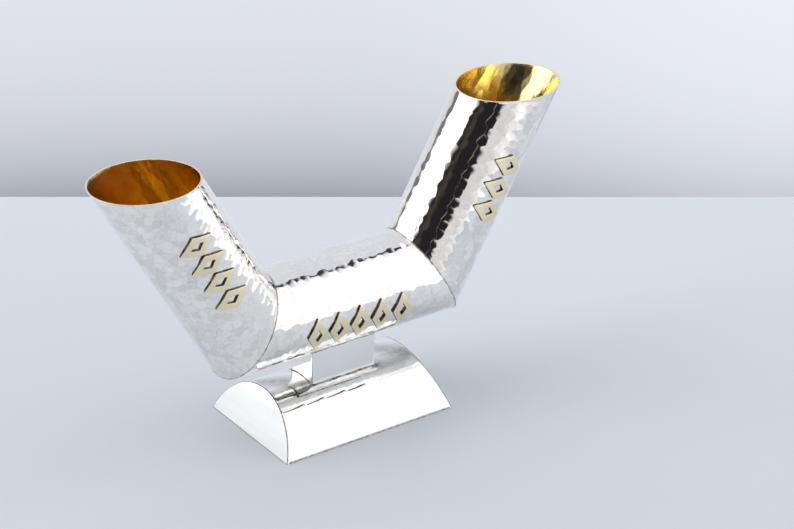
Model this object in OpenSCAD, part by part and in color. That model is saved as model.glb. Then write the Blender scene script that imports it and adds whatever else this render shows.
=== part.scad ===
// Double-mouthed vessel for washing the hands.
// Three equal tubes are mitred into one wide channel with two slanting arms. A flat-sided
// neck joins the middle tube to a half-round foot, and every joint is soldered.
// X runs from mouth to mouth, -Y is the decorated front, and Z is up. The origin is in
// the middle of the underside.

/* [Tubes] */
// Outer diameter of all three tubes
tube_d = 48; // [44:1:52]
// Thickness of the silver sheet the tubes are made from
tube_wall = 0.6; // [0.5:0.1:1.2]
// Thickness of the gold skin inside the tubes and over their rims
gilding = 0.1; // [0.1:0.05:0.3]
// Slope of both arms above the horizontal, in degrees
arm_slope = 60; // [50:1:65]
// Distance between the two elbows, along the axis of the middle tube
elbow_span = 106.8; // [100:0.2:130]
// Height of the middle tube's axis above the table
axis_h = 63.5; // [60:0.5:75]
// Height of the two level mouths above the table
mouth_h = 153.2; // [150:0.2:170]

/* [Neck] */
// Width of the neck, from side to side
neck_w = 37.4; // [24:0.2:50]
// Depth of the neck, from front to back
neck_d = 19.5; // [12:0.5:28]
// Thickness of the neck's sheet
neck_wall = 1; // [0.8:0.1:2]

/* [Foot] */
// Length of the foot at the table
foot_l = 99.7; // [80:0.1:130]
// Depth of the foot, from front to back
foot_w = 68; // [56:1:80]
// Height of the foot's crown
foot_h = 24.4; // [18:0.2:28]
// How far both end plates lean in from the vertical, in degrees
foot_lean = 19.5; // [0:0.5:25]
// Thickness of the foot's sheet
foot_wall = 1; // [0.8:0.1:2]
// Diameter of the vent holes that let the soldering heat out of the hollow foot
vent_d = 2; // [1:0.5:4]

/* [Solder] */
// Width of the solder band over each elbow
seam_w = 1.2; // [0.8:0.1:2]
// How far the solder band stands above the tubes
seam_t = 0.15; // [0.1:0.05:0.3]
// Size of the solder bead along both edges of the neck
bead = 0.6; // [0.4:0.1:1.2]

/* [Ornament] */
// Width of one brass lozenge, along the tube
lozenge_w = 11.7; // [8:0.1:12]
// Height of one brass lozenge, round the tube
lozenge_h = 19; // [12:0.5:22]
// Width of the bar around the lozenge's opening
lozenge_bar = 3; // [2:0.1:3.4]
// Thickness of the brass sheet
lozenge_t = 1; // [0.8:0.1:1.6]
// Distance from one lozenge to the next
lozenge_pitch = 12.5; // [12.1:0.1:14]
// Turn of the middle row up from the front, in degrees
middle_turn = -10; // [-30:1:20]
// Turn of the left arm's row up from the front, in degrees
left_turn = -5; // [-30:1:20]
// Turn of the right arm's row up from the front, in degrees
right_turn = -4; // [-30:1:20]
// Distance from the left elbow to the start of its row
left_start = 30; // [26:1:36]
// Distance from the right elbow to the start of its row
right_start = 36; // [26:1:44]

/* [Hidden] */

LEFT = -1;
RIGHT = 1;
// Longer than any part of the vessel, for cutting tools
REACH = 400;

tube_r = tube_d / 2;
bore_r = tube_r - tube_wall;
gilt_r = bore_r - gilding;
elbow_x = elbow_span / 2;
mitre = arm_slope / 2;
left_count = 4;
middle_count = 5;
right_count = 3;
middle_start = -middle_count * lozenge_pitch / 2;
// The foot's curve is an arc through both long edges and the crown
foot_r = (pow(foot_w / 2, 2) + pow(foot_h, 2)) / (2 * foot_h);
foot_axis_z = foot_h - foot_r;
vent_x = foot_l / 4;
$fn = 128;

// A round bar along X, as long as every cut needs
module bar(r) {
    rotate([0, 90, 0])
        cylinder(r = r, h = REACH, center = true);
}

// The frame of one arm: its axis is local +X, and local +Z is its upper side
module arm_frame(side) {
    translate([side * elbow_x, 0, axis_h])
        mirror([side == LEFT ? 1 : 0, 0, 0])
            rotate([0, -arm_slope, 0])
                children();
}

// Everything on the mouth side of one elbow's mitre plane, moved out by shift
module beyond_mitre(side, shift = 0) {
    translate([side * elbow_x, 0, axis_h])
        mirror([side == LEFT ? 1 : 0, 0, 0])
            rotate([0, -mitre, 0])
                translate([shift, -REACH / 2, -REACH / 2])
                    cube(REACH);
}

// Everything above one level
module above(z) {
    translate([-REACH / 2, -REACH / 2, z])
        cube(REACH);
}

// A round bar of radius r along one arm, from the mitre up to the level top
module arm_bar(side, r, top) {
    difference() {
        intersection() {
            arm_frame(side) bar(r);
            beyond_mitre(side);
        }
        above(top);
    }
}

// A round bar of radius r along the middle tube, between both mitres
module middle_bar(r) {
    difference() {
        translate([0, 0, axis_h]) bar(r);
        beyond_mitre(LEFT);
        beyond_mitre(RIGHT);
    }
}

// Silver tube of one arm, open at its mitre and at its level mouth
module arm(side) {
    color([0.86, 0.87, 0.88])
        difference() {
            arm_bar(side, tube_r, mouth_h - gilding);
            arm_frame(side) bar(bore_r);
        }
}

// Silver tube between the elbows
module middle_tube() {
    color([0.86, 0.87, 0.88])
        difference() {
            middle_bar(tube_r);
            translate([0, 0, axis_h]) bar(bore_r);
        }
}

// Gold skin inside one arm, carried over the thin edge of its mouth
module arm_gilding(side) {
    color([0.83, 0.6, 0.2])
        difference() {
            union() {
                arm_bar(side, bore_r, mouth_h);
                difference() {
                    arm_bar(side, tube_r, mouth_h);
                    mirror([0, 0, 1]) above(gilding - mouth_h);
                }
            }
            arm_frame(side) bar(gilt_r);
        }
}

// Gold skin inside the middle tube
module middle_gilding() {
    color([0.83, 0.6, 0.2])
        difference() {
            middle_bar(bore_r);
            translate([0, 0, axis_h]) bar(gilt_r);
        }
}

// Thin band of solder that covers the mitre on the outside: one half lies on the arm and
// the other on the middle tube
module elbow_solder(side) {
    color([0.78, 0.77, 0.74]) {
        difference() {
            arm_bar(side, tube_r + seam_t, mouth_h);
            beyond_mitre(side, seam_w / 2);
            arm_frame(side) bar(tube_r);
        }
        difference() {
            intersection() {
                middle_bar(tube_r + seam_t);
                beyond_mitre(side, -seam_w / 2);
            }
            translate([0, 0, axis_h]) bar(tube_r);
        }
    }
}

// Upright block between the foot's crown and the middle tube, saddle-cut at both ends
module neck_block(w, d) {
    difference() {
        translate([-w / 2, -d / 2, 0]) cube([w, d, axis_h]);
        translate([0, 0, axis_h]) bar(tube_r);
        translate([0, 0, foot_axis_z]) bar(foot_r);
    }
}

// Folded sleeve of flat silver sheet
module neck() {
    color([0.88, 0.89, 0.91])
        difference() {
            neck_block(neck_w, neck_d);
            translate([-neck_w / 2 + neck_wall, -neck_d / 2 + neck_wall, 0])
                cube([neck_w - 2 * neck_wall, neck_d - 2 * neck_wall, axis_h]);
        }
}

// Bead around the neck where it meets a round bar at height z
module neck_bead(r, z) {
    color([0.78, 0.77, 0.74])
        intersection() {
            difference() {
                neck_block(neck_w + 2 * bead, neck_d + 2 * bead);
                neck_block(neck_w, neck_d);
            }
            translate([0, 0, z]) bar(r + bead);
        }
}

// The half-round foot as a solid, drawn in by inset on its curve and both ends
module foot_block(inset) {
    difference() {
        intersection() {
            translate([0, 0, foot_axis_z]) bar(foot_r - inset);
            above(0);
        }
        foot_end_cut(LEFT, inset);
        foot_end_cut(RIGHT, inset);
    }
}

// Everything outside one leaning end of the foot
module foot_end_cut(side, inset) {
    translate([side * foot_l / 2, 0, 0])
        mirror([side == LEFT ? 1 : 0, 0, 0])
            rotate([0, -foot_lean, 0])
                translate([-inset, -REACH / 2, -REACH / 2])
                    cube(REACH);
}

// Curved sheet of the foot, with a vent hole into the neck
module foot_shell() {
    color([0.9, 0.9, 0.91])
        difference() {
            foot_block(0);
            translate([0, 0, foot_axis_z]) bar(foot_r - foot_wall);
            foot_end_cut(LEFT, foot_wall);
            foot_end_cut(RIGHT, foot_wall);
            cylinder(d = vent_d, h = axis_h);
        }
}

// Flat plate that closes one leaning end of the foot
module foot_end(side) {
    color([0.9, 0.9, 0.91])
        intersection() {
            foot_block(0);
            foot_end_cut(side, foot_wall);
        }
}

// Flat plate that closes the foot underneath, with a vent hole
module foot_plate() {
    color([0.84, 0.84, 0.85])
        difference() {
            foot_block(foot_wall);
            above(foot_wall);
            translate([vent_x, 0, -foot_wall]) cylinder(d = vent_d, h = 3 * foot_wall);
        }
}

// Outline of a lozenge, drawn in all round by inset
module lozenge_outline(inset) {
    half_w = lozenge_w / 2;
    half_h = lozenge_h / 2;
    shrink = 1 - inset * sqrt(half_w * half_w + half_h * half_h) / (half_w * half_h);
    polygon([[half_w * shrink, 0], [0, half_h * shrink],
             [-half_w * shrink, 0], [0, -half_h * shrink]]);
}

// Open brass lozenge bent to a tube along X, at the distance x along it
module lozenge(x, turn) {
    color([0.83, 0.74, 0.5])
        intersection() {
            difference() {
                bar(tube_r + lozenge_t);
                bar(tube_r);
            }
            rotate([-turn, 0, 0])
                translate([x, 0, 0])
                    rotate([90, 0, 0])
                        linear_extrude(height = tube_d)
                            difference() {
                                lozenge_outline(0);
                                lozenge_outline(lozenge_bar);
                            }
        }
}

// One lozenge of an arm's row, counted from the elbow
module arm_lozenge(side, start, turn, count) {
    arm_frame(side) lozenge(start + (count - 0.5) * lozenge_pitch, turn);
}

// One lozenge of the middle row, counted from the left
module middle_lozenge(count) {
    translate([0, 0, axis_h])
        lozenge(middle_start + (count - 0.5) * lozenge_pitch, middle_turn);
}

arm(LEFT);  // left_arm
middle_tube();
arm(RIGHT);  // right_arm
arm_gilding(LEFT);  // left_gilding
middle_gilding();
arm_gilding(RIGHT);  // right_gilding
elbow_solder(LEFT);  // left_elbow_solder
elbow_solder(RIGHT);  // right_elbow_solder
neck();
neck_bead(tube_r, axis_h);  // neck_top_solder
neck_bead(foot_r, foot_axis_z);  // neck_foot_solder
foot_shell();
foot_end(LEFT);  // foot_left_end
foot_end(RIGHT);  // foot_right_end
foot_plate();
for (i = [1 : left_count])
    arm_lozenge(LEFT, left_start, left_turn, i);
for (i = [1 : middle_count])
    middle_lozenge(i);
for (i = [1 : right_count])
    arm_lozenge(RIGHT, right_start, right_turn, i);
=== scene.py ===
import math

import bmesh
import bpy
import numpy as np
from mathutils import Matrix, Vector


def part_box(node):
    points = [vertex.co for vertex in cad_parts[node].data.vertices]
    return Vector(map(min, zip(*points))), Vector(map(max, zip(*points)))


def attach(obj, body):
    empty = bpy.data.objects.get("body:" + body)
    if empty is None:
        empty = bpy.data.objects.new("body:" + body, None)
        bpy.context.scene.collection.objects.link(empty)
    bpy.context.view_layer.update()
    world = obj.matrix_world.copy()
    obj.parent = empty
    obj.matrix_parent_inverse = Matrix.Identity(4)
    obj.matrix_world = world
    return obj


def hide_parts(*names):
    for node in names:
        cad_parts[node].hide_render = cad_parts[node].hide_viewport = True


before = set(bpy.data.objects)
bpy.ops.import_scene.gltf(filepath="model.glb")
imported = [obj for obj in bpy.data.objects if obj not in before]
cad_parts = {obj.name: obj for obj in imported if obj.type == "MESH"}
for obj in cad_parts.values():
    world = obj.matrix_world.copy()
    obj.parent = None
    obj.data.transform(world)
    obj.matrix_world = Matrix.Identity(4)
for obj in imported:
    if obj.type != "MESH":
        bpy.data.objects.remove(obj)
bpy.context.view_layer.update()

MM = 0.001
TAU = 2 * math.pi
LEFT, RIGHT = -1, 1

# ---------------------------------------------------------------- sizes
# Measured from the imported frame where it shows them, and otherwise as in the part's source
TUBE_LO, TUBE_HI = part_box("middle_tube")
BORE_LO, BORE_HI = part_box("middle_gilding")
ARM_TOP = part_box("right_arm")[1].z
NECK_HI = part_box("neck")[1]
FOOT_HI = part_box("foot_shell")[1]
GILT_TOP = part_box("right_gilding")[1].z

SLOPE = math.radians(60)
MITRE = SLOPE / 2
TUBE_R = (TUBE_HI.y - TUBE_LO.y) / 2
BORE_R = (BORE_HI.y - BORE_LO.y) / 2
GILDING = GILT_TOP - ARM_TOP
GILT_R = BORE_R - GILDING
AXIS_Z = (TUBE_HI.z + TUBE_LO.z) / 2
ELBOW_X = TUBE_HI.x - TUBE_R * math.tan(MITRE)

NECK_WALL = 1.0 * MM
NECK_CORNER = 0.5 * MM

FOOT_WALL = 1.0 * MM
FOOT_HALF_W = FOOT_HI.y
FOOT_H = FOOT_HI.z
FOOT_R = (FOOT_HALF_W ** 2 + FOOT_H ** 2) / (2 * FOOT_H)
FOOT_AXIS_Z = FOOT_H - FOOT_R
FOOT_HALF_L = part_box("foot_right_end")[1].x
FOOT_LEAN = math.radians(19.5)

LOZENGE_LO, LOZENGE_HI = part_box("middle_lozenge_1")
LOZENGE_W = LOZENGE_HI.x - LOZENGE_LO.x
LOZENGE_H = 19.0 * MM
LOZENGE_BAR = 3.0 * MM
LOZENGE_T = 1.0 * MM
LOZENGE_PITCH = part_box("middle_lozenge_2")[0].x - LOZENGE_LO.x
MIDDLE_TURN, LEFT_TURN, RIGHT_TURN = (math.radians(a) for a in (-10, -5, -4))
LEFT_START, RIGHT_START = 30 * MM, 36 * MM


# ---------------------------------------------------------------- mesh helpers
def inside_out(mesh):
    solid = bmesh.new()
    solid.from_mesh(mesh)
    volume = solid.calc_volume(signed=True)
    solid.free()
    return volume < 0


def make_object(name, verts, faces, material, smooth_angle=35, **fields):
    """A mesh object. Each field holds one value per vertex, for the material to read."""
    mesh = bpy.data.meshes.new(name)
    mesh.from_pydata([tuple(v) for v in verts], [], faces)
    mesh.validate()
    if inside_out(mesh):
        mesh.flip_normals()
    mesh.update()
    mesh.shade_smooth()
    mesh.set_sharp_from_angle(angle=math.radians(smooth_angle))
    for field, values in fields.items():
        layer = mesh.attributes.new(field, "FLOAT", "POINT")
        layer.data.foreach_set("value", np.asarray(values, float).ravel())
    mesh.materials.append(material)
    obj = bpy.data.objects.new(name, mesh)
    bpy.context.collection.objects.link(obj)
    return obj


def ring_faces(rows, cols, close_rows):
    """Quads over a grid that is closed along its columns, and along its rows if asked."""
    last = rows if close_rows else rows - 1
    faces = []
    for i in range(last):
        a, b = i * cols, ((i + 1) % rows) * cols
        for j in range(cols):
            k = (j + 1) % cols
            faces.append((a + j, a + k, b + k, b + j))
    return faces


def ring_solid(name, rings, material, smooth_angle=35, **fields):
    """A closed solid from a stack of rings whose last ring joins the first. A field has one
    value per ring or one per vertex."""
    rings = np.asarray(rings)
    rows, cols = rings.shape[:2]
    fields = {key: np.broadcast_to(np.asarray(value, float).reshape(rows, -1), (rows, cols))
              for key, value in fields.items()}
    return make_object(name, rings.reshape(-1, 3), ring_faces(rows, cols, True), material,
                       smooth_angle, **fields)


def place(obj, slot, *nodes):
    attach(obj, "root")
    if nodes:
        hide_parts(*nodes)
    return obj


# ---------------------------------------------------------------- node helpers
class Nodes:
    """Short calls for building a node tree."""

    def __init__(self, tree):
        self.tree = tree
        tree.nodes.clear()

    def add(self, kind, inputs=None, **settings):
        node = self.tree.nodes.new(kind)
        for key, value in settings.items():
            setattr(node, key, value)
        for key, value in (inputs or {}).items():
            self.feed(node.inputs[key], value)
        return node

    def feed(self, socket, value):
        if isinstance(value, bpy.types.NodeSocket):
            self.tree.links.new(value, socket)
        else:
            socket.default_value = value

    def math(self, operation, *values):
        node = self.add("ShaderNodeMath", operation=operation)
        for socket, value in zip(node.inputs, values):
            self.feed(socket, value)
        return node.outputs[0]

    def ramp(self, value, low, high, out_low=0.0, out_high=1.0, smooth=False):
        """Takes low to high over to out_low to out_high, and stays at those beyond them."""
        node = self.add("ShaderNodeMapRange",
                        {"Value": value, "From Min": low, "From Max": high,
                         "To Min": out_low, "To Max": out_high},
                        interpolation_type="SMOOTHSTEP" if smooth else "LINEAR")
        return node.outputs[0]

    def mix(self, factor, a, b):
        node = self.add("ShaderNodeMix", data_type="RGBA")
        self.feed(node.inputs["Factor"], factor)
        self.feed(node.inputs[6], a)
        self.feed(node.inputs[7], b)
        return node.outputs[2]

    def noise(self, scale, detail, roughness, vector):
        return self.add("ShaderNodeTexNoise", {"Scale": scale, "Detail": detail,
                                               "Roughness": roughness,
                                               "Vector": vector}).outputs[0]

    def field(self, name):
        """A value that the mesh holds for each of its points."""
        return self.add("ShaderNodeAttribute", attribute_name=name).outputs["Fac"]


def metal(name, colour, shade, wear_and_shade_tint, roughness, rough_spread, scratch, scratch_scale=900.0,
          pit=0.0, patchy=0.3, hammered=False):
    """A metal with a slow change of tone, uneven polish and fine scratches. It takes its second
    colour, for tarnish, rubbing and painted shade, where the mesh's field for these says.
    Hammered metal is mottled, with a tone for each mark. Noise scales are per metre, so 38
    gives a pattern of about 26 mm."""
    mat = bpy.data.materials.new(name)
    mat.use_nodes = True
    n = Nodes(mat.node_tree)
    coord = n.add("ShaderNodeTexCoord").outputs["Object"]
    tone = n.noise(38.0, 3.0, 0.55, coord)
    if hammered:
        # The mean of the slow tone, the mottle and the mark's own tone, each by its weight
        mottle = n.ramp(n.noise(620.0, 3.0, 0.65, coord), 0.3, 0.7)
        both = n.math("ADD", n.math("MULTIPLY", mottle, 0.8), n.field("mark"))
        tone = n.math("MULTIPLY", n.math("ADD", tone, both), 1 / 2.8)
    patches = n.ramp(n.noise(430.0, 3.0, 0.6, coord), 0.4, 0.6, patchy, 1.0)
    # In patches, where the mesh's field says: tarnish, rubbing and painted shade
    wear = n.math("MULTIPLY", n.field("wear"), patches)
    clean = n.mix(n.ramp(tone, 0.3, 0.7), (*colour, 1), (*shade, 1))
    polish = n.ramp(n.noise(160.0, 4.0, 0.6, coord), 0.3, 0.7, roughness,
                    roughness + rough_spread)
    stretch = n.add("ShaderNodeMapping", {"Vector": coord, "Scale": (1.0, 9.0, 9.0)})
    scratches = n.noise(scratch_scale, 2.0, 0.7, stretch.outputs[0])
    speckle = n.noise(2600.0, 2.0, 0.5, coord)
    bump = n.add("ShaderNodeBump", {"Height": n.math("MULTIPLY_ADD", speckle, pit, scratches),
                                    "Strength": scratch, "Distance": 0.02 * MM})
    shader = n.add("ShaderNodeBsdfPrincipled", {
        "Metallic": 1.0,
        "Base Color": n.mix(wear, clean, (*wear_and_shade_tint, 1)),
        "Roughness": n.math("MULTIPLY_ADD", wear, 0.25, polish),
        "Normal": bump.outputs[0],
    })
    out = n.add("ShaderNodeOutputMaterial")
    n.feed(out.inputs["Surface"], shader.outputs[0])
    return mat


# Each metal's third colour is for tarnish and rubbing; the dark ones of the hammered and polished
# silver also serve as painted shade
HAMMERED = metal("hammered_silver", (0.98, 0.958, 0.925), (0.8, 0.777, 0.745),
                 (0.22, 0.21, 0.2), 0.02, 0.03, 0.1, patchy=0.05, hammered=True)
POLISHED = metal("polished_silver", (0.94, 0.935, 0.92), (0.9, 0.893, 0.878),
                 (0.11, 0.078, 0.06), 0.02, 0.03, 0.05, patchy=0.75)
UNDERSIDE = metal("brushed_underside", (0.88, 0.875, 0.865), (0.8, 0.79, 0.775),
                  (0.3, 0.29, 0.28), 0.16, 0.14, 0.5)
SOLDER = metal("silver_solder", (0.86, 0.79, 0.67), (0.62, 0.56, 0.47), (0.07, 0.056, 0.045),
               0.12, 0.16, 0.3, pit=0.6, patchy=0.5)
GOLD = metal("gilding", (0.91, 0.765, 0.37), (0.89, 0.72, 0.32), (0.97, 0.86, 0.68), 0.13, 0.09,
             0.25)
BRASS = metal("satin_brass", (0.92, 0.82, 0.6), (0.84, 0.73, 0.51), (0.05, 0.04, 0.028), 0.27,
              0.12, 0.5, 1300.0, pit=0.3, patchy=0.8)


# ---------------------------------------------------------------- hammer marks
class HammerMarks:
    """Overlapping hollow marks on an unrolled tube: each point takes its deepest mark.

    Marks sit on a jittered grid that closes around the tube. Stretch makes them longer along
    the tube than around it. A point looks for its mark within Reach cells of its own, and the
    ridge between two marks fades where one is Ridge rise deeper than the other."""

    REACH = 2
    RIDGE_RISE = 0.03 * MM
    JITTER = 0.36

    def __init__(self, seed, length, radius, pitch, depth, hollow, stretch=1.0):
        rng = np.random.default_rng(seed)
        self.girth = TAU * radius
        self.around = round(self.girth / pitch)
        self.step = self.girth / self.around
        self.stretch = stretch
        self.pitch = pitch * stretch
        self.start = -length / 2 - self.REACH * self.pitch
        self.along = math.ceil(length / self.pitch) + 2 * self.REACH + 1
        shape = (self.along, self.around)
        i, j = np.indices(shape)
        self.s = self.start + (i + 0.5 + rng.uniform(-self.JITTER, self.JITTER, shape)) * self.pitch
        self.a = (j + 0.5 * (i % 2) + rng.uniform(-self.JITTER, self.JITTER, shape)) * self.step
        self.depth = rng.uniform(*depth, shape)
        self.hollow = rng.uniform(*hollow, shape)
        self.turn = rng.uniform(0, math.pi, shape)
        self.squash = rng.uniform(0.8, 1.0, shape)
        self.tone = rng.uniform(0, 1, shape)

    def at(self, s, a):
        """At distance s along and a around: the height, 0 or less; how close the ridge
        between two marks is, up to 1; and the mark's own tone."""
        i0 = np.floor((s - self.start) / self.pitch).astype(int)
        j0 = np.floor(a / self.step).astype(int)
        best = np.zeros(np.broadcast(s, a).shape)
        second = best.copy()
        tone = best.copy()
        for di in range(-self.REACH, self.REACH + 1):
            for dj in range(-self.REACH, self.REACH + 1):
                i = np.clip(i0 + di, 0, self.along - 1)
                j = (j0 + dj) % self.around
                ds = (s - self.s[i, j]) / self.stretch
                da = a - self.a[i, j]
                da -= self.girth * np.round(da / self.girth)
                cos, sin = np.cos(self.turn[i, j]), np.sin(self.turn[i, j])
                u = cos * ds + sin * da
                v = (cos * da - sin * ds) * self.squash[i, j]
                level = (u * u + v * v) / (2 * self.hollow[i, j]) - self.depth[i, j]
                second = np.minimum(second, np.maximum(best, level))
                tone = np.where(level < best, self.tone[i, j], tone)
                best = np.minimum(best, level)
        return best, np.exp(-((second - best) / self.RIDGE_RISE) ** 2), tone


def smoothstep(x):
    x = np.clip(x, 0, 1)
    return x * x * (3 - 2 * x)


# ---------------------------------------------------------------- tubes
# A silver tube stays under 200,000 triangles with these
COLS = 384
SILVER_ROWS = 256
GILT_ARM_ROWS, GILT_MIDDLE_ROWS = 180, 140
ANGLES = np.arange(COLS) * TAU / COLS
# Longer than any tube, so that the marks cover the whole wall
MARKED_LENGTH = 300 * MM
# How far from its start and its end the hammer marks of an arm, and of the middle tube, fade
ARM_FADE = (1.2 * MM, 0.8 * MM)
MIDDLE_FADE = (1.2 * MM, 1.2 * MM)
# How far the tarnish reaches from a seam, and the wear of the gold from the rim
SEAM_TARNISH = 0.55 * MM
RIM_WEAR = 0.8 * MM
# How far down the outside the gilt edge laps over the silver
CAP_DEPTH = 0.25 * MM


class Tube:
    """One tube's axis frame: a start point, a direction and an upper side."""

    def __init__(self, origin, direction, upper):
        self.origin = np.array(origin, float)
        self.axis = np.array(direction, float)
        self.upper = np.array(upper, float)
        self.front = np.array((0.0, -1.0, 0.0))

    def at(self, s, angle, radius):
        """Points at distance s along, angle up from the front, and radius."""
        s, angle, radius = np.broadcast_arrays(s, angle, radius)
        out = np.cos(angle)[..., None] * self.front + np.sin(angle)[..., None] * self.upper
        return self.origin + s[..., None] * self.axis + radius[..., None] * out


def arm_tube(side):
    return Tube((side * ELBOW_X, 0, AXIS_Z),
                (side * math.cos(SLOPE), 0, math.sin(SLOPE)),
                (-side * math.sin(SLOPE), 0, math.cos(SLOPE)))


MIDDLE = Tube((0, 0, AXIS_Z), (1, 0, 0), (0, 0, 1))
ARM = {LEFT: arm_tube(LEFT), RIGHT: arm_tube(RIGHT)}


def arm_ends(radius, top):
    """Where an arm's wall starts at the mitre and ends at a level top, for every angle."""
    up = radius * np.sin(ANGLES)
    start = up * math.tan(MITRE)
    end = (top - AXIS_Z - up * math.cos(SLOPE)) / math.sin(SLOPE)
    return start, end


def middle_ends(radius):
    end = ELBOW_X - radius * np.sin(ANGLES) * math.tan(MITRE)
    return -end, end


def hammered_rows(tube, start, end, radius, rows, marks, fade):
    """Rings of a hammered wall, the ridge and tone at each point, and the distances to its
    start and end. The marks fade out over fade[0] and fade[1]. The wall sways slightly, and
    lies a little under its full radius."""
    t = np.linspace(0, 1, rows)[:, None]
    s = start + t * (end - start)
    height, ridge, tone = marks.at(s, (ANGLES * marks.girth / TAU)[None, :])
    near = np.minimum((s - start) / fade[0], (end - s) / fade[1])
    sway = 0.05 * MM * (np.sin(s / (9 * MM) + 2 * ANGLES) + np.sin(s / (15 * MM) - 3 * ANGLES))
    height = height * smoothstep(near) - (0.1 * MM + sway) * smoothstep(near / 4)
    return tube.at(s, ANGLES, radius + height), ridge, tone, s - start, end - s


def close_to(gap, reach):
    return np.exp(-(gap / reach) ** 2)


def silver_tube(name, tube, ends_out, ends_in, seed, fade, hollow, underside_reach, last_is_seam):
    """Hammered outer wall and a plain inner wall. Low on the tube the ridges between marks are
    lighter, as rubbed high points and as painted highlight, and carry thin lines of painted
    shade; the seams are tarnished. Hollow is the range of the marks' radii. The argument after
    it is the sine of the angle up from the front above which the marks differ least in tone
    and their ridges carry the least painted light and shade."""
    marks = HammerMarks(seed, MARKED_LENGTH, TUBE_R, pitch=4.6 * MM,
                        depth=(0.07 * MM, 0.13 * MM), hollow=hollow)
    outer, ridge, tone, to_start, to_end = hammered_rows(tube, *ends_out, TUBE_R, SILVER_ROWS,
                                                         marks, fade)
    # Low on the tube the marks differ more in tone, and their ridges are lighter, as rubbed high
    # points and as painted highlight; higher up, both fade
    under = smoothstep((underside_reach - np.sin(ANGLES)) / 0.8)
    tone = 0.5 + (tone - 0.5) * (0.3 + 0.9 * under) - 0.3 * ridge * under
    # Thin lines of painted shade along the ridges, strongest low on the tube
    ridge = ridge * (0.03 + 0.22 * under)
    seam = close_to(to_start, SEAM_TARNISH)
    if last_is_seam:
        seam = np.maximum(seam, close_to(to_end, SEAM_TARNISH))
    plain = np.zeros((2, COLS))
    inner = [tube.at(ends_in[1], ANGLES, BORE_R), tube.at(ends_in[0], ANGLES, BORE_R)]
    # One field holds the painted shade on the ridges and the tarnish at the seams
    solid = ring_solid(name + "_hammered", np.concatenate([outer, inner]), HAMMERED,
                       mark=np.concatenate([tone, plain]),
                       wear=np.concatenate([np.maximum(ridge, seam), plain]))
    return place(solid, "hammered_silver", name)


def gold_skin(name, tube, ends_in, rows, seed, fade, rim=()):
    """Gold skin over the raised back of the hammer marks, and its worn cap over the rim,
    which is given as rings."""
    marks = HammerMarks(seed, MARKED_LENGTH, GILT_R, pitch=2.6 * MM,
                        depth=(0.04 * MM, 0.08 * MM), hollow=(16 * MM, 30 * MM), stretch=2.4)
    inner, _, _, _, to_end = hammered_rows(tube, *ends_in, GILT_R, rows, marks, fade)
    back = [tube.at(ends_in[1], ANGLES, BORE_R), tube.at(ends_in[0], ANGLES, BORE_R)]
    wear_and_shade_tint = close_to(to_end, RIM_WEAR) if rim else np.zeros((rows, COLS))
    cap = np.reshape(rim, (-1, COLS, 3))
    solid = ring_solid(name + "_skin", np.concatenate([inner, cap, back]), GOLD,
                       wear=np.concatenate([wear_and_shade_tint, np.ones((len(cap), COLS)),
                                            np.zeros((2, COLS))]))
    return place(solid, "gilding", name)


def rim_cap(tube):
    """Rounded gilt edge over the silver: rings from the inner wall to the outer one."""
    half = (TUBE_R - GILT_R) / 2
    centre = GILT_R + half
    rings = []
    for turn in np.linspace(0, math.pi, 7):
        radius = centre - half * math.cos(turn)
        _, end = arm_ends(radius, GILT_TOP - 0.5 * CAP_DEPTH * (1 - math.sin(turn)))
        rings.append(tube.at(end, ANGLES, radius))
    for inset, drop in ((0, 0), (0.1 * MM, 0.05 * MM)):
        _, end = arm_ends(TUBE_R - inset, GILT_TOP - CAP_DEPTH - drop)
        rings.append(tube.at(end, ANGLES, TUBE_R - inset))
    return rings


def build_tubes():
    silver_top = GILT_TOP - CAP_DEPTH
    for side, word, seed, hollow, underside_reach in ((LEFT, "left", 11, (27 * MM, 48 * MM), 0.35),
                                            (RIGHT, "right", 23, (32 * MM, 58 * MM), 0.75)):
        tube = ARM[side]
        silver_tube(word + "_arm", tube, arm_ends(TUBE_R, silver_top),
                    arm_ends(BORE_R, silver_top), seed, ARM_FADE, hollow, underside_reach, False)
        gold_skin(word + "_gilding", tube, arm_ends(GILT_R, GILT_TOP - 0.2 * MM),
                  GILT_ARM_ROWS, seed + 100, ARM_FADE, rim_cap(tube))
    silver_tube("middle_tube", MIDDLE, middle_ends(TUBE_R), middle_ends(BORE_R), 37,
                MIDDLE_FADE, (24 * MM, 42 * MM), 0.6, True)
    gold_skin("middle_gilding", MIDDLE, middle_ends(GILT_R), GILT_MIDDLE_ROWS, 137, MIDDLE_FADE)


# ---------------------------------------------------------------- solder
def elbow_seam(side, word):
    """Narrow rounded bead along the mitre, slightly uneven as solder is."""
    # Half the bead's width, its height over the tube, and how deep its edges and its root lie
    half, proud, sunk = 0.4 * MM, 0.13 * MM, 0.25 * MM
    root_edge, root_middle = 0.5 * MM, 0.7 * MM
    rng = np.random.default_rng(71 + side)
    waves = [(k, rng.uniform(0, TAU), rng.uniform(0.03, 0.1)) for k in (5, 11, 17, 29, 43)]
    uneven = 1 + sum(size * np.sin(k * ANGLES + phase) for k, phase, size in waves)
    arm_start, _ = arm_ends(TUBE_R, GILT_TOP)
    middle_start, middle_end = middle_ends(TUBE_R)
    rings, dark = [], []
    for t in np.linspace(-1, 1, 9):
        dark.append(0.65 + 0.35 * t * t)
        radius = TUBE_R - sunk + (proud + sunk) * math.sqrt(1 - t * t)
        shift = t * half * uneven
        if t < 0:
            edge = middle_end + shift if side == RIGHT else middle_start - shift
            rings.append(MIDDLE.at(edge, ANGLES, radius))
        else:
            rings.append(ARM[side].at(arm_start + shift, ANGLES, radius))
    rings.append(ARM[side].at(arm_start + half, ANGLES, TUBE_R - root_edge))
    rings.append(ARM[side].at(arm_start, ANGLES, TUBE_R - root_middle))
    solid = ring_solid(word + "_elbow_bead", rings, SOLDER, 60, wear=dark + [1, 1])
    return place(solid, "silver_solder", word + "_elbow_solder")


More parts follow.
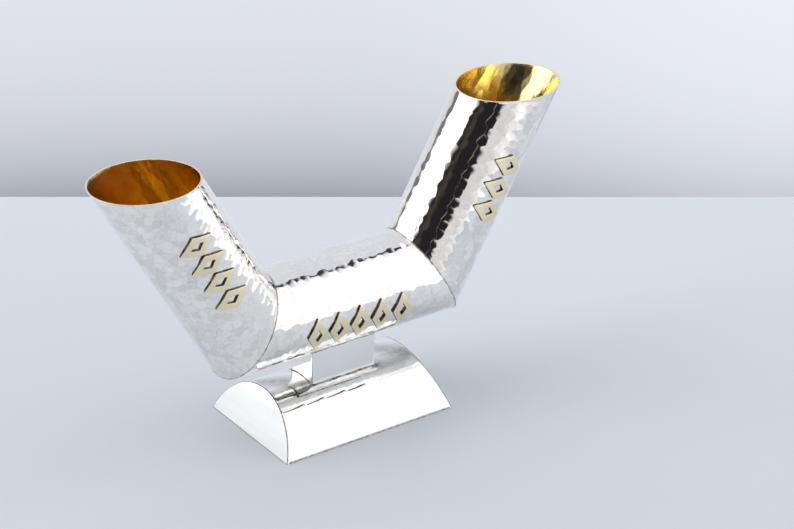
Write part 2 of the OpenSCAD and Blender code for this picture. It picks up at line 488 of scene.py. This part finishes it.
def rounded_rectangle(half_x, half_y, corner):
    """Points round a rectangle with rounded corners, closed, in order."""
    corner_steps, side_steps = 6, 16
    points = []
    for quarter in range(4):
        angle = quarter * math.pi / 2
        cx = (half_x - corner) * (1 if quarter in (0, 3) else -1)
        cy = (half_y - corner) * (1 if quarter in (0, 1) else -1)
        for k in range(corner_steps + 1):
            turn = angle + k * math.pi / 2 / corner_steps
            points.append((cx + corner * math.cos(turn), cy + corner * math.sin(turn)))
        end_x, end_y = points[-1]
        if quarter in (0, 2):
            target = (-end_x, end_y)
        else:
            target = (end_x, -end_y)
        for k in range(1, side_steps):
            f = k / side_steps
            points.append((end_x + f * (target[0] - end_x), end_y + f * (target[1] - end_y)))
    return np.array(points)


def tube_underside(y):
    return AXIS_Z - np.sqrt(TUBE_R ** 2 - y ** 2)


def foot_crown(y):
    return FOOT_AXIS_Z + np.sqrt(FOOT_R ** 2 - y ** 2)


def column_ring(outline, z):
    return np.column_stack([outline, np.broadcast_to(z, len(outline))])


def neck_sleeve():
    """Folded sheet sleeve with softly rounded corners and walls that sit on both curves."""
    outer = rounded_rectangle(NECK_HI.x, NECK_HI.y, NECK_CORNER)
    inner = rounded_rectangle(NECK_HI.x - NECK_WALL, NECK_HI.y - NECK_WALL, 0.25 * MM)
    # Only points in the middle of a rounded corner are near neither side's full width
    room = np.array((NECK_HI.x, NECK_HI.y)) - np.abs(outer)
    fold = 0.8 * (room.max(axis=1) < 0.45 * NECK_CORNER)
    rings, dark = [], []
    rise = np.concatenate([[0, 0.02], np.linspace(0.06, 0.94, 12), [0.98, 1]])
    for t in rise:
        low, high = foot_crown(outer[:, 1]), tube_underside(outer[:, 1])
        rings.append(column_ring(outer, low + t * (high - low)))
        # Darker along the middles of the rounded corners and at both ends
        dark.append(np.maximum(fold, float(t in (0, 1))))
    for t in (1, 0):
        low, high = foot_crown(inner[:, 1]), tube_underside(inner[:, 1])
        rings.append(column_ring(inner, low + t * (high - low)))
        dark.append(np.ones(len(inner)))
    return place(ring_solid("neck_sleeve", rings, POLISHED, wear=dark), "polished_silver",
                 "neck")


def neck_bead(name, node, surface, sign):
    """Small hollow fillet round one end of the neck."""
    reach = 0.55 * MM
    rng = np.random.default_rng(5 + sign)
    rings = []
    # (distance out from the neck, distance along it), as shares of reach
    profile = [(-0.2, -0.5), (-0.2, 1.0), (0.0, 1.0), (0.08, 0.55), (0.28, 0.25), (0.6, 0.07),
               (1.0, 0.0), (1.0, -0.3), (0.5, -0.5)]
    for out, up in profile:
        grow = out * reach
        outline = rounded_rectangle(NECK_HI.x + grow, NECK_HI.y + grow,
                                    NECK_CORNER + max(grow, 0))
        uneven = 1 + 0.18 * np.sin(np.arange(len(outline)) * 0.9 + rng.uniform(0, TAU))
        z = surface(outline[:, 1]) + sign * up * reach * (uneven if up > 0 else 1)
        rings.append(column_ring(outline, z))
    if sign < 0:
        rings = rings[::-1]
    return place(ring_solid(name, rings, SOLDER, 60, wear=np.ones(len(rings))),
                 "silver_solder", node)


# ---------------------------------------------------------------- foot
def end_x(z, inset=0.0):
    """Distance from the middle to a leaning end plate's outer face at height z."""
    return FOOT_HALF_L - z * math.tan(FOOT_LEAN) - inset / math.cos(FOOT_LEAN)


def foot_arc(radius, steps, floor=0.0):
    """Angles from the front edge over the crown to the back edge, where the arc meets floor."""
    low = math.asin((floor - FOOT_AXIS_Z) / radius)
    return np.linspace(low, math.pi - low, steps)


def edge_stations(half_length, fine, count):
    """Places from -1 to 1 along a sheet, with a few closer ones beside both ends."""
    inner = np.linspace(-1, 1, count)[1:-1]
    ends = [1 - step / half_length for step in (0, fine, 2 * fine)]
    return np.array(sorted([-e for e in ends] + [*inner] + ends))


def foot_sheet():
    """Curved sheet between the end plates, with a very shallow hand-made sway, a painted contact
    shadow along its lower edges and, more lightly, tarnish over its crown, where the neck was
    soldered."""
    steps, seam, fine = 141, 0.02 * MM, 0.36 * MM
    outer_turn = foot_arc(FOOT_R, steps)
    low = outer_turn[0]
    outer_turn[1] = low + fine / FOOT_R
    outer_turn[-2] = math.pi - outer_turn[1]
    inner_turn = foot_arc(FOOT_R - FOOT_WALL, steps)[::-1]
    stations = edge_stations(FOOT_HALF_L, fine, 61)
    rings, dark = [], []
    for t in stations:
        wave = np.sin(3.1 * t + 4 * outer_turn) + 0.7 * np.sin(7.3 * t - 3 * outer_turn)
        sunk = (0.07 * MM + 0.035 * MM * wave) * min(1, (1 - abs(t)) * 12)
        sunk = sunk * np.minimum(1, 6 * np.sin(outer_turn - low))
        radius = np.concatenate([FOOT_R - np.abs(sunk), np.full(steps, FOOT_R - FOOT_WALL)])
        turn = np.concatenate([outer_turn, inner_turn])
        z = np.maximum(FOOT_AXIS_Z + radius * np.sin(turn), 0)
        rings.append(np.column_stack([t * (end_x(z, FOOT_WALL) - seam),
                                      -radius * np.cos(turn), z]))
        streaks = 0.55 + 0.45 * np.sin(8.3 * t + 9 * turn)
        crown = 0.5 * streaks * smoothstep((np.sin(turn) - 0.93) / 0.04)
        # Tarnish over the crown, and a painted contact shadow along the lower edges
        dark.append(np.maximum(crown, (z < 1.2 * fine) * 0.9))
    cols = 2 * steps
    faces = ring_faces(len(rings), cols, False)
    last = (len(rings) - 1) * cols
    for k in range(steps - 1):
        quad = (k, k + 1, cols - 2 - k, cols - 1 - k)
        faces.append(quad[::-1])
        faces.append(tuple(last + q for q in quad))
    sheet = make_object("foot_curved_sheet", np.concatenate(rings), faces, POLISHED, 30,
                        wear=np.concatenate(dark))
    return place(sheet, "polished_silver", "foot_shell")


def foot_end_plate(side, word):
    """Flat D-shaped plate with a small rounded edge, filed flush with the curved sheet."""
    steps = 97
    bevel = 0.16 * MM
    # (inset of the outline, distance in from the outer face, painted shade of the dark outline)
    profile = [(4.0 * MM, 0.0, 0.0), (0.6 * MM, 0.0, 0.0), (0.36 * MM, 0.0, 0.3),
               (bevel, 0.0, 0.9), (0.3 * bevel, 0.3 * bevel, 1.0), (0.0, bevel, 1.0),
               (0.0, 0.35 * MM, 0.8), (0.0, 0.7 * MM, 0.0), (0.0, FOOT_WALL, 0.0)]
    rings = []
    for inset, depth, _ in profile:
        radius = FOOT_R - inset
        turn = foot_arc(radius, steps, inset)
        z = FOOT_AXIS_Z + radius * np.sin(turn)
        rings.append(np.column_stack([side * end_x(z, depth), -radius * np.cos(turn), z]))
    faces = ring_faces(len(rings), steps, False)
    centre = len(rings) * steps
    z_mid = FOOT_H * 0.4
    middles = [(side * end_x(z_mid, depth), 0, z_mid) for depth in (0, FOOT_WALL)]
    back = (len(rings) - 1) * steps
    for k in range(steps):
        m = (k + 1) % steps
        faces.append((m, k, centre))
        faces.append((back + k, back + m, centre + 1))
    if side == LEFT:
        faces = [f[::-1] for f in faces]
    # A painted dark outline of shade runs round the curved edge
    dark = np.concatenate([np.repeat([painted_outline for _, _, painted_outline in profile], steps), [0, 0]])
    plate = make_object(word + "_end_plate", np.concatenate([*rings, middles]), faces,
                        POLISHED, 50, wear=dark)
    return place(plate, "polished_silver", "foot_" + word + "_end")


def build_stand():
    neck_sleeve()
    neck_bead("neck_top_bead", "neck_top_solder", tube_underside, -1)
    neck_bead("neck_foot_bead", "neck_foot_solder", foot_crown, 1)
    foot_sheet()
    foot_end_plate(LEFT, "left")
    foot_end_plate(RIGHT, "right")
    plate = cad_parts["foot_plate"]
    plate.data.materials.clear()
    plate.data.materials.append(UNDERSIDE)


# ---------------------------------------------------------------- lozenges
def lozenge_ring(inset, steps):
    """Outline of a lozenge drawn in by inset, with softened corners."""
    half_w, half_h = LOZENGE_W / 2, LOZENGE_H / 2
    shrink = 1 - inset * math.hypot(half_w, half_h) / (half_w * half_h)
    corners = [np.array(p) * shrink for p in ((half_w, 0), (0, half_h), (-half_w, 0),
                                              (0, -half_h))]
    points = []
    for k in range(4):
        a, b = corners[k], corners[(k + 1) % 4]
        for t in range(steps):
            f = t / steps
            points.append(a + f * (b - a))
    points = np.array(points)
    soft = points.copy()
    for k in range(4):
        i = k * steps
        soft[i] = (points[i - 1] + 2 * points[i] + points[(i + 1) % len(points)]) / 4
    return soft


def lozenge(name, tube, x, turn, seed):
    """Pierced brass lozenge bent to its tube, with filed edges and a faint crown."""
    rng = np.random.default_rng(seed)
    steps = 14
    bevel = 0.18 * MM
    bar = LOZENGE_BAR
    # (inset of the outline, height above the tube)
    profile = [(0.0, -0.5 * MM), (0.0, LOZENGE_T - bevel),
               (0.1 * bevel, LOZENGE_T - 0.45 * bevel), (0.45 * bevel, LOZENGE_T - 0.1 * bevel),
               (bevel, LOZENGE_T), (0.35 * bar, LOZENGE_T), (0.5 * bar, LOZENGE_T),
               (0.65 * bar, LOZENGE_T), (bar - bevel, LOZENGE_T),
               (bar - 0.45 * bevel, LOZENGE_T - 0.1 * bevel),
               (bar - 0.1 * bevel, LOZENGE_T - 0.45 * bevel), (bar, LOZENGE_T - bevel),
               (bar, -0.5 * MM)]
    oxide = [float(height <= LOZENGE_T - bevel) for _, height in profile]
    phase = rng.uniform(0, TAU, 2)
    rings = []
    for inset, height in profile:
        flat = lozenge_ring(inset, steps)
        px, pz = flat[:, 0], flat[:, 1]
        wave = 0.0
        if height > LOZENGE_T - bevel:
            wave = 0.03 * MM * (1 + np.sin(px / (1.9 * MM) + phase[0])
                                * np.cos(pz / (2.6 * MM) + phase[1]))
        radius = TUBE_R + height - wave
        local = np.column_stack([px + x, -np.sqrt(radius ** 2 - pz ** 2), pz])
        cos, sin = math.cos(turn), math.sin(turn)
        forward = -local[:, 1] * cos - local[:, 2] * sin
        upward = -local[:, 1] * sin + local[:, 2] * cos
        rings.append(tube.origin + local[:, :1] * tube.axis + forward[:, None] * tube.front
                     + upward[:, None] * tube.upper)
    return place(ring_solid(name + "_brass", rings, BRASS, 24, wear=oxide), "brass", name)


def build_lozenges():
    for i in range(1, 5):
        lozenge(f"left_lozenge_{i}", ARM[LEFT], LEFT_START + (i - 0.5) * LOZENGE_PITCH,
                LEFT_TURN, 200 + i)
    for i in range(1, 6):
        lozenge(f"middle_lozenge_{i}", MIDDLE, (i - 3) * LOZENGE_PITCH, MIDDLE_TURN, 300 + i)
    for i in range(1, 4):
        lozenge(f"right_lozenge_{i}", ARM[RIGHT], RIGHT_START + (i - 0.5) * LOZENGE_PITCH,
                RIGHT_TURN, 400 + i)


# ---------------------------------------------------------------- studio
# The table's back edge: its outward azimuth, and how far it lies from the vessel's middle
BACK_AZIMUTH = math.radians(146.2)
BACK_EDGE = 0.2453


def floor_material():
    mat = bpy.data.materials.new("pale_floor")
    mat.use_nodes = True
    n = Nodes(mat.node_tree)
    coord = n.add("ShaderNodeTexCoord").outputs["Object"]
    cloud = n.ramp(n.noise(3.0, 4.0, 0.5, coord), 0.3, 0.7, -0.08, 0.08)
    split = n.add("ShaderNodeSeparateXYZ", {"Vector": coord})
    away = n.math("ADD", n.math("MULTIPLY", split.outputs[0], math.sin(BACK_AZIMUTH)),
                  n.math("MULTIPLY", split.outputs[1], -math.cos(BACK_AZIMUTH)))
    # The floor's colour darkens towards the front as painted light falloff, with a faint random
    # cloud
    shader = n.add("ShaderNodeBsdfPrincipled", {
        "Base Color": n.mix(n.math("ADD", cloud, n.ramp(away, -0.3, BACK_EDGE)),
                            (0.575, 0.615, 0.655, 1), (0.665, 0.705, 0.745, 1)),
        "Roughness": n.ramp(n.noise(40.0, 3.0, 0.5, coord), 0.3, 0.7, 0.3, 0.38),
        "Specular IOR Level": 0.35,
    })
    out = n.add("ShaderNodeOutputMaterial")
    n.feed(out.inputs["Surface"], shader.outputs[0])
    return mat


def build_floor():
    away = Vector((math.sin(BACK_AZIMUTH), -math.cos(BACK_AZIMUTH), 0))
    along = Vector((away.y, -away.x, 0))
    near, left, right = 0.38, 0.24, 0.42
    # Just clear of the foot's underside, so that the two don't share a plane
    down = Vector((0, 0, -0.02 * MM))
    corners = [away * BACK_EDGE - along * left + down, away * BACK_EDGE + along * right + down,
               away * -near + along * right + down, away * -near - along * left + down]
    steps = 24
    verts, faces = [], []
    for i in range(steps + 1):
        for j in range(steps + 1):
            u, v = i / steps, j / steps
            verts.append(corners[0].lerp(corners[1], u).lerp(corners[3].lerp(corners[2], u), v))
    for i in range(steps):
        for j in range(steps):
            a = i * (steps + 1) + j
            faces.append((a, a + steps + 1, a + steps + 2, a + 1))
    floor = make_object("studio_floor", verts, faces, floor_material())


def grey(value, warm=1.0, cool=1.0):
    return (value * warm, value, value * cool, 1)


# The studio's boxes, gaps and dark screens, later ones in front: the colour, the azimuth of the
# middle, half the width, the softness of the sides, the lowest and the highest elevation, and
# the softness of those two edges, in degrees
SCREENS = (
    # white boxes: right front, left, and the left one's hot middle
    (grey(1.2, 0.98, 1.04), 48.0, 38.0, 18.0, -14.0, 64.0, 12.0, 6.0),
    (grey(2.0), -122.0, 29.0, 7.0, -9.0, 64.0, 5.0, 6.0),
    (grey(2.4), -117.0, 19.0, 8.0, 17.0, 36.0, 6.0, 8.0),
    # a gap beside the left box
    (grey(0.2, 1.0, 1.06), -160.0, 5.0, 5.0, -5.0, 50.0, 6.0, 12.0),
    # the dark studio behind the camera, its olive side and a thin pink line in it
    (grey(0.018, 1.0, 1.2), -57.0, 31.0, 7.0, 7.5, 50.0, 4.0, 10.0),
    (grey(0.06, 1.1, 0.75), -76.0, 4.0, 12.0, 8.0, 48.0, 6.0, 10.0),
    (grey(0.3, 1.35, 0.92), -43.0, 0.4, 0.6, 8.0, 40.0, 3.0, 6.0),
    # a gap between the right box and the wall
    (grey(0.045, 1.0, 1.15), 99.0, 7.0, 4.0, -12.0, 62.0, 8.0, 6.0),
)


def build_world():
    """A soft studio round the vessel: white boxes, a grey wall and a dark side behind the
    camera, all placed by direction, so that nothing stands in the way of other views."""
    world = bpy.data.worlds.new("studio")
    bpy.context.scene.world = world
    world.use_nodes = True
    n = Nodes(world.node_tree)
    split = n.add("ShaderNodeSeparateXYZ")
    n.feed(split.inputs[0], n.add("ShaderNodeTexCoord").outputs["Generated"])
    x, y, z = split.outputs
    azimuth = n.math("DEGREES", n.math("ARCTAN2", x, n.math("MULTIPLY", y, -1.0)))
    elevation = n.math("DEGREES", n.math("ARCSINE", z))

    def patch(base, colour, centre, half, soft, low, high, soft_low, soft_high):
        """The base colour with a soft-edged box of sky over it, as Screens describes them."""
        off = n.math("ABSOLUTE", n.math("WRAP", n.math("SUBTRACT", azimuth, centre), 180.0,
                                        -180.0))
        side = n.ramp(off, half - soft / 2, half + soft / 2, 1.0, 0.0, True)
        above = n.ramp(elevation, low - soft_low / 2, low + soft_low / 2, 0.0, 1.0, True)
        below = n.ramp(elevation, high - soft_high / 2, high + soft_high / 2, 1.0, 0.0, True)
        mask = n.math("MULTIPLY", side, n.math("MULTIPLY", above, below))
        return n.mix(mask, base, colour)

    # The lower wall darkens down to the table's edge, and is lighter to its right
    dusk = n.math("EXPONENT", n.math("DIVIDE", n.math("ADD", elevation, 25.55), -1.6))
    wall_low = n.mix(n.math("MINIMUM", dusk, 1.0), grey(0.8, 0.97, 1.07), grey(0.38, 0.95, 1.17))
    wall_low = n.mix(n.ramp(azimuth, 146.0, 135.0, 0.0, 0.2, True), wall_low,
                     grey(1.2, 0.97, 1.05))
    wall = n.mix(n.ramp(elevation, -21.0, -14.0, 0.0, 1.0, True), wall_low,
                 grey(0.8, 0.96, 1.1))
    # Round the wall: a light ground, a grey room, the screens, and a white ceiling over all
    below = n.mix(n.ramp(elevation, -40.0, -10.0), grey(0.8, 0.99, 1.03), grey(0.95, 0.99, 1.02))
    colour = n.mix(n.ramp(elevation, -8.0, -2.0, 0.0, 1.0, True), below, grey(0.76, 1.0, 1.03))
    colour = patch(colour, wall, 144.0, 38.0, 8.0, -89.0, 64.0, 1.0, 10.0)
    for shade, *place_in_sky in SCREENS:
        colour = patch(colour, shade, *place_in_sky)
    colour = n.mix(n.ramp(elevation, 62.0, 70.0, 0.0, 1.0, True), colour, grey(1.6, 1.0, 1.02))
    shade = n.add("ShaderNodeBackground", {"Color": colour, "Strength": 1.0})
    out = n.add("ShaderNodeOutputWorld")
    n.feed(out.inputs["Surface"], shade.outputs[0])


# Light goes down a gilt tube by several reflections, and comes back deeper in colour
GLOSSY_BOUNCES = 12


def build_camera():
    scene = bpy.context.scene
    data = bpy.data.cameras.new("camera")
    camera = bpy.data.objects.new("camera", data)
    bpy.context.collection.objects.link(camera)
    azimuth, elevation, roll = (math.radians(a) for a in (-35.93, 27.04, 0.94))
    target, distance = Vector((0.0388, 0, 0.0697)), 1.330
    back = Vector((math.sin(azimuth) * math.cos(elevation),
                   -math.cos(azimuth) * math.cos(elevation), math.sin(elevation)))
    side = Vector((math.cos(azimuth), math.sin(azimuth), 0))
    up = back.cross(side)
    right = side * math.cos(roll) + up * math.sin(roll)
    up = up * math.cos(roll) - side * math.sin(roll)
    turn = Matrix((right, up, back)).transposed().to_4x4()
    camera.matrix_world = Matrix.Translation(target + back * distance) @ turn
    data.sensor_width = 36
    data.lens = 120.48
    data.clip_start, data.clip_end = 0.05, 20
    scene.camera = camera
    scene.view_settings.view_transform = "Standard"
    scene.cycles.glossy_bounces = GLOSSY_BOUNCES


build_camera()
build_tubes()
elbow_seam(LEFT, "left")
elbow_seam(RIGHT, "right")
build_stand()
build_lozenges()
build_floor()
build_world()
